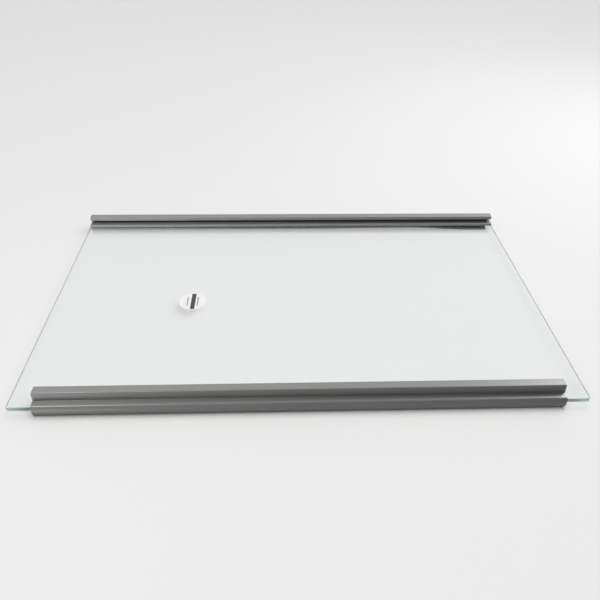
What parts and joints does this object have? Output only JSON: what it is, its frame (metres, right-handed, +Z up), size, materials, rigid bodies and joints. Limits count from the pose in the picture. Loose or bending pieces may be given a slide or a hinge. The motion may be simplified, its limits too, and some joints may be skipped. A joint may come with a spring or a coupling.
{
  "type": "refrigerator glass shelf",
  "caption": "Rectangular clear glass refrigerator shelf with grey plastic grip trims pushed onto its front and rear edges and a small round label.",
  "frame": {"origin": "on the surface that the trims stand on, below the middle of the pane", "axes": "+X along the pane's longer side, +Z up out of the pane's upper face, front edge towards -Y"},
  "size_m": [0.52, 0.3354, 0.0202],
  "materials": {
    "clear_glass": "clear float glass with a faint green tint and ground edges",
    "grey_trim": "satin extruded plastic with fine lines along its length",
    "white_label": "coated paper sticker, white with a plain dark band"
  },
  "bodies": {
    "root": {"glass_pane": "clear_glass", "front_trim": "grey_trim", "rear_trim": "grey_trim", "round_label": "white_label"}
  },
  "joints": []
}
